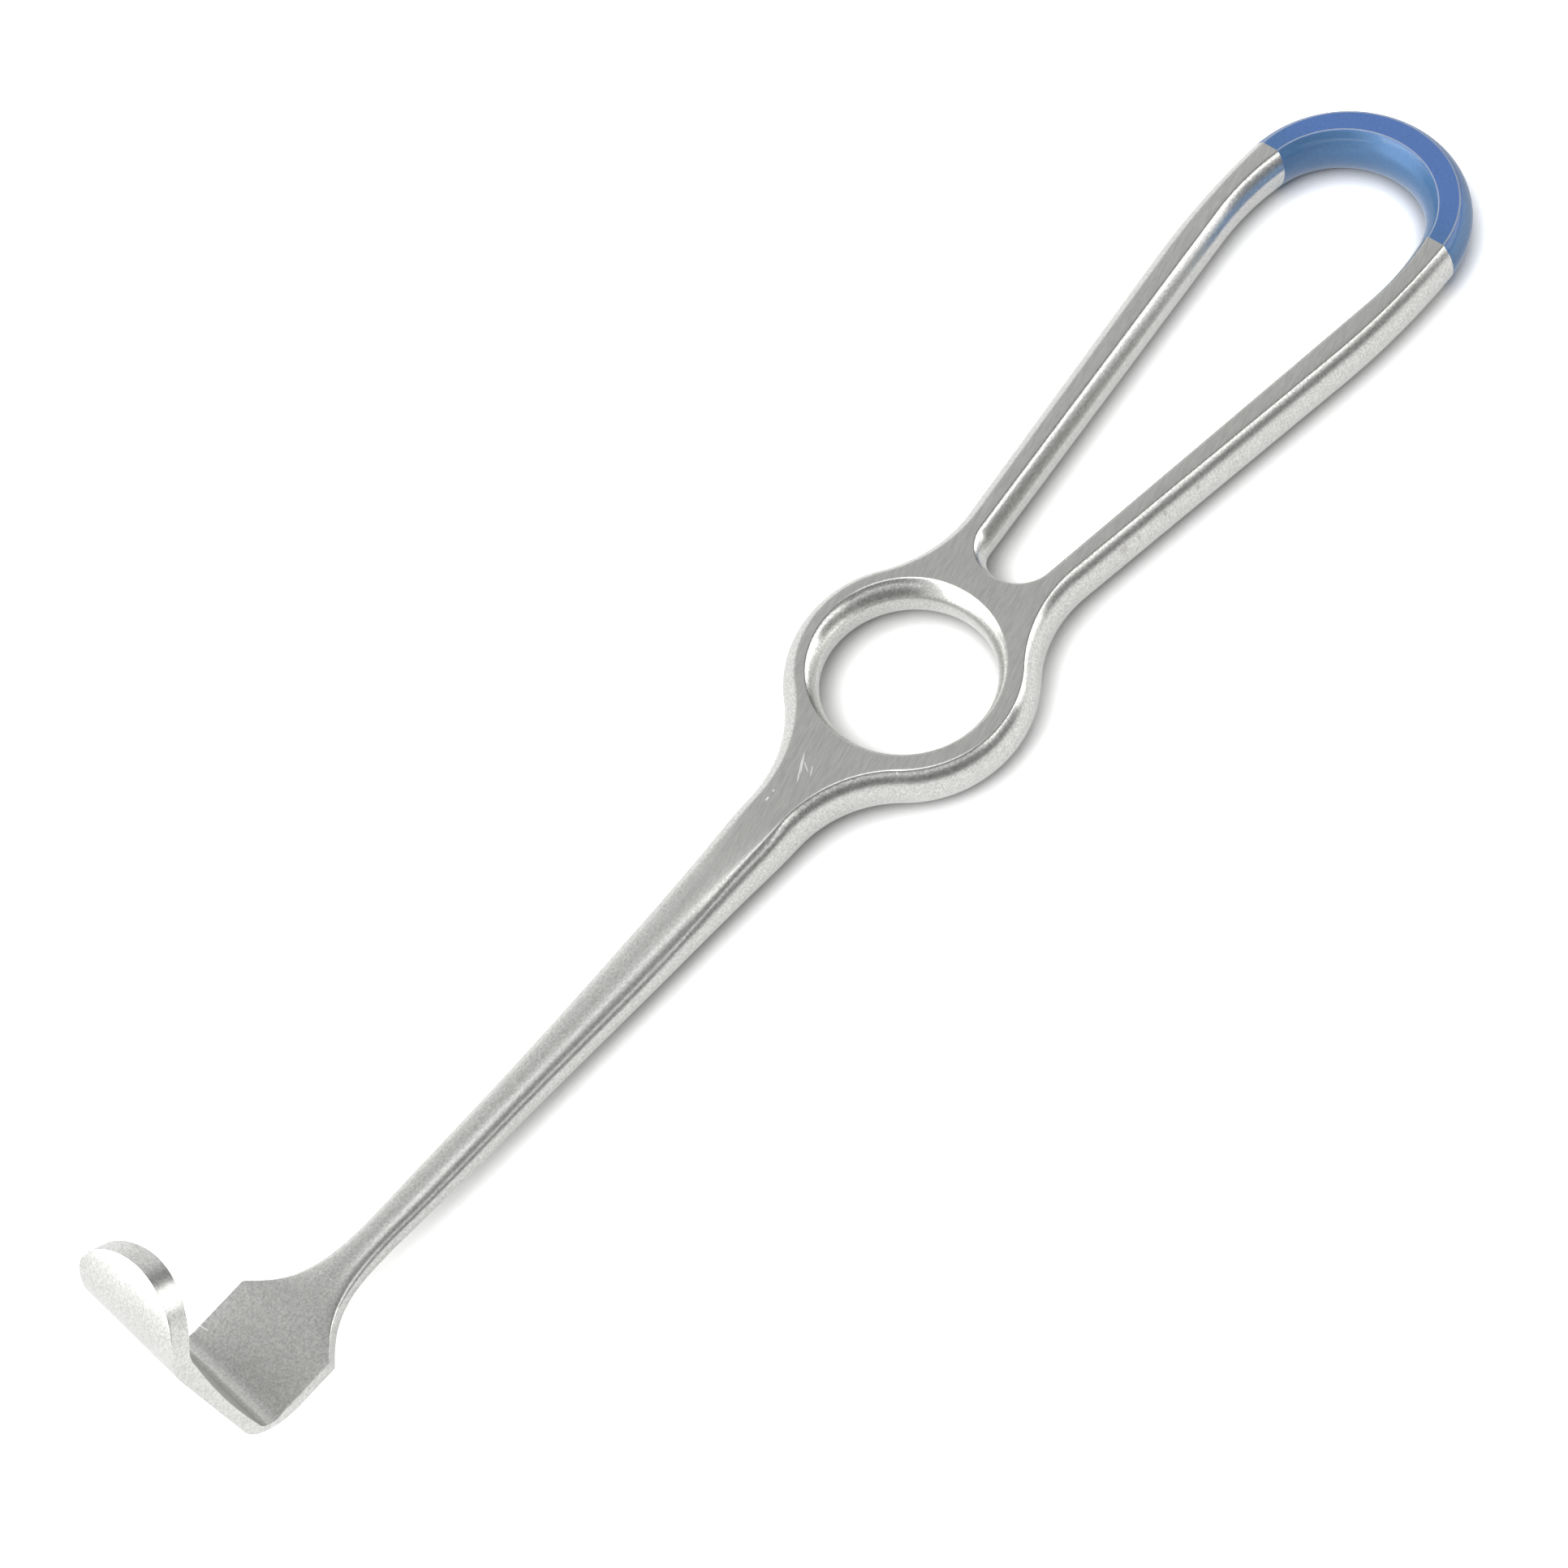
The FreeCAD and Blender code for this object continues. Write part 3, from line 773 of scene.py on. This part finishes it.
def steelMaterial():
    material, tree = newMaterial("satinSteel")
    where = addNode(tree, "ShaderNodeTexCoord").outputs["Object"]
    place = addNode(tree, "ShaderNodeSeparateXYZ", {0: where}).outputs
    onHandle = mapRange(tree, place[0], *steel["handleEnd"], 0.0, 1.0, "SMOOTHSTEP")
    soft = addNode(tree, "ShaderNodeNewGeometry").outputs["Normal"]
    facing = addNode(tree, "ShaderNodeSeparateXYZ", {0: soft}).outputs
    height = facing[2]
    rolled = rolledTilt(tree, height, steel["innerWall"])
    ringDistance = vectorSums(tree, "LENGTH", vectorSums(tree, "MULTIPLY", where, (1, 1, 0)), result="Value")
    inRing = sums(tree, "LESS_THAN", ringDistance, steel["ringRadius"])
    middle = addNode(tree, "ShaderNodeClamp", {0: place[0], 1: steel["loopMiddle"][0],
                                               2: steel["loopMiddle"][1]}).outputs[0]
    away = sums(tree, "ADD", sums(tree, "MULTIPLY", facing[0], sums(tree, "SUBTRACT", place[0], middle)),
                sums(tree, "MULTIPLY", facing[1], place[1]))
    inLoop = sums(tree, "MULTIPLY", sums(tree, "LESS_THAN", away, 0.0),
                  sums(tree, "GREATER_THAN", place[0], steel["loopStart"]))
    inner = sums(tree, "MAXIMUM", inRing, inLoop)
    fadeStart, fadeEnd, left = steel["innerEnd"]
    inner = sums(tree, "MULTIPLY", inner, mapRange(tree, place[0], fadeStart, fadeEnd, 1.0, left))
    tilt = addNode(tree, "ShaderNodeMix", {0: inner, 2: height, 3: rolled}).outputs[0]
    eased = useGroup(tree, easedCrease, {"Normal": soft, "Tilt": tilt})["Normal"]
    onFlat = mapRange(tree, height, *steel["flatHeights"], 0.0, 1.0, "SMOOTHSTEP")
    blast = useGroup(tree, surfaceGrain, {"Position": where, "Fineness": steel["blastFineness"],
                                          "Depth": steel["grainDepth"], "Normal": eased})
    swung = addNode(tree, "ShaderNodeVectorRotate", {"Vector": where, "Angle": steel["brushTurn"]},
                    rotation_type="Z_AXIS").outputs[0]
    brushed = vectorSums(tree, "MULTIPLY", swung, steel["brushStretch"])
    brush = useGroup(tree, surfaceGrain, {"Position": brushed, "Fineness": steel["brushFineness"],
                                          "Depth": steel["grainDepth"], "Normal": eased})
    brushShare = sums(tree, "MULTIPLY", onHandle, onFlat)
    grain = addNode(tree, "ShaderNodeMix", {0: brushShare, 2: blast["Grain"], 3: brush["Grain"]}).outputs[0]
    normal = addNode(tree, "ShaderNodeMix", {0: brushShare, 4: blast["Normal"],
                                             5: brush["Normal"]}, data_type="VECTOR").outputs[1]
    broad = addNode(tree, "ShaderNodeTexNoise", {"Vector": where, "Scale": steel["broadScale"],
                                                 "Detail": steel["broadDetail"]}).outputs["Fac"]
    tint = mixColour(tree, broad, steel["shade"], steel["colour"])
    strength = mapRange(tree, brushShare, 0.0, 1.0, *steel["speckle"])
    change = mapRange(tree, grain, *grainRelief["span"], -1.0, 1.0)
    fleck = sums(tree, "ADD", 1.0, sums(tree, "MULTIPLY", strength, change))
    tint = mixColour(tree, 1.0, tint, fleck, "MULTIPLY")
    scratch = markMask(tree, where, place[2], steel["scratches"])
    stain = markMask(tree, where, place[2], steel["stains"])
    tint = mixColour(tree, scratch, tint, steel["scratched"])
    tint = mixColour(tree, sums(tree, "MULTIPLY", stain, steel["stainShare"]), tint, steel["stained"])
    rough = mapRange(tree, onHandle, 0.0, 1.0, steel["shaftRoughness"], steel["handleRoughness"])
    rough = sums(tree, "ADD", rough, sums(tree, "MULTIPLY", scratch, steel["scratchRoughness"]))
    rough = sums(tree, "ADD", rough, sums(tree, "MULTIPLY", onFlat, steel["flatRoughness"]))
    metal = addNode(tree, "ShaderNodeBsdfPrincipled", {"Base Color": tint, "Metallic": 1.0, "Roughness": rough,
                                                       "Normal": normal})
    addNode(tree, "ShaderNodeOutputMaterial", {"Surface": metal.outputs[0]})
    print("steel mixed")
    return material


# Blue lacquer over the closed end, glossy over a fine metallic grain
coat = {
    "blue": (0.090, 0.192, 0.490, 1.0),
    "tealAndWallShade": (0.075, 0.180, 0.345, 1.0),
    "tealAndWallShadeShare": (0.5, 0.9),            # how much of it shows at the coat's ends, and on the walls as painted shade
    "wallShadeHeights": (0.55, 0.90),        # heights of the normal from wall to level face, over which the painted wall shade fades
    "creaseHighlight": (0.40, 0.47, 0.58, 1.0),    # painted highlight along the creases
    "start": 0.086,                     # where along the handle the lacquer starts
    "endPlace": (0.086, 0.093),
    "grainFineness": 3000.0,
    "grainDepth": 0.03,
    "speckle": 0.08,
    "crease": (0.82, 0.90, 0.985, 0.998),   # heights of the normal between which the painted highlight shows
    "creaseHighlightShare": 1.0,
    "roughness": 0.38,
    "metal": 0.25,
    "gloss": 0.6,
    "glossRoughness": 0.05,
    "bend": 1.35,                       # how strongly the lacquer turns light, low for a thin dull one
    "wall": [(0.0, 0.0), (0.10, 0.28), (0.25, 0.50), (0.45, 0.68), (0.62, 0.78), (0.80, 0.90), (1.0, 1.0)],
}


def coatMaterial():
    material, tree = newMaterial("blueCoat")
    where = addNode(tree, "ShaderNodeTexCoord").outputs["Object"]
    soft = addNode(tree, "ShaderNodeNewGeometry").outputs["Normal"]
    height = addNode(tree, "ShaderNodeSeparateXYZ", {0: soft}).outputs[2]
    rolled = rolledTilt(tree, height, coat["wall"])
    eased = useGroup(tree, easedCrease, {"Normal": soft, "Tilt": rolled})["Normal"]
    spray = useGroup(tree, surfaceGrain, {"Position": where, "Fineness": coat["grainFineness"],
                                          "Depth": coat["grainDepth"], "Normal": eased})
    along = addNode(tree, "ShaderNodeSeparateXYZ", {0: where}).outputs[0]
    tone = mapRange(tree, along, *coat["endPlace"], 1.0, 0.0, "SMOOTHSTEP")
    # painted shade: walls, by the height of their normal, take the darker teal; at the ends it is the lacquer's own
    # tone
    wall = mapRange(tree, height, *coat["wallShadeHeights"], 1.0, 0.0, "SMOOTHSTEP")
    atEnds, wallShadeShare = coat["tealAndWallShadeShare"]
    tone = sums(tree, "MAXIMUM", sums(tree, "MULTIPLY", tone, atEnds), sums(tree, "MULTIPLY", wall, wallShadeShare))
    tint = mixColour(tree, tone, coat["blue"], coat["tealAndWallShade"])
    # painted highlight: a pale line along the creases, by the height of the normal
    low, lowFull, highFull, high = coat["crease"]
    crease = sums(tree, "MULTIPLY", mapRange(tree, height, low, lowFull, 0.0, coat["creaseHighlightShare"]),
                  mapRange(tree, height, highFull, high, 1.0, 0.0))
    tint = mixColour(tree, crease, tint, coat["creaseHighlight"])
    fleck = mapRange(tree, spray["Grain"], *grainRelief["span"], 1.0 - coat["speckle"], 1.0 + coat["speckle"])
    tint = mixColour(tree, 1.0, tint, fleck, "MULTIPLY")
    paint = addNode(tree, "ShaderNodeBsdfPrincipled",
                    {"Base Color": tint, "Metallic": coat["metal"], "Roughness": coat["roughness"],
                     "IOR": coat["bend"], "Coat Weight": coat["gloss"], "Coat Roughness": coat["glossRoughness"],
                     "Normal": spray["Normal"]})
    addNode(tree, "ShaderNodeOutputMaterial", {"Surface": paint.outputs[0]})
    print("coat mixed")
    return material


addCamera()
addTable()
addRoom()
addPanels()
whole = forgingMesh()
addPart("forgedBody", whole, 1, steelMaterial(), "retractor_body")
addPart("lacquer", whole, -1, coatMaterial(), "handle_coat")
whole.free()
print("forging placed")
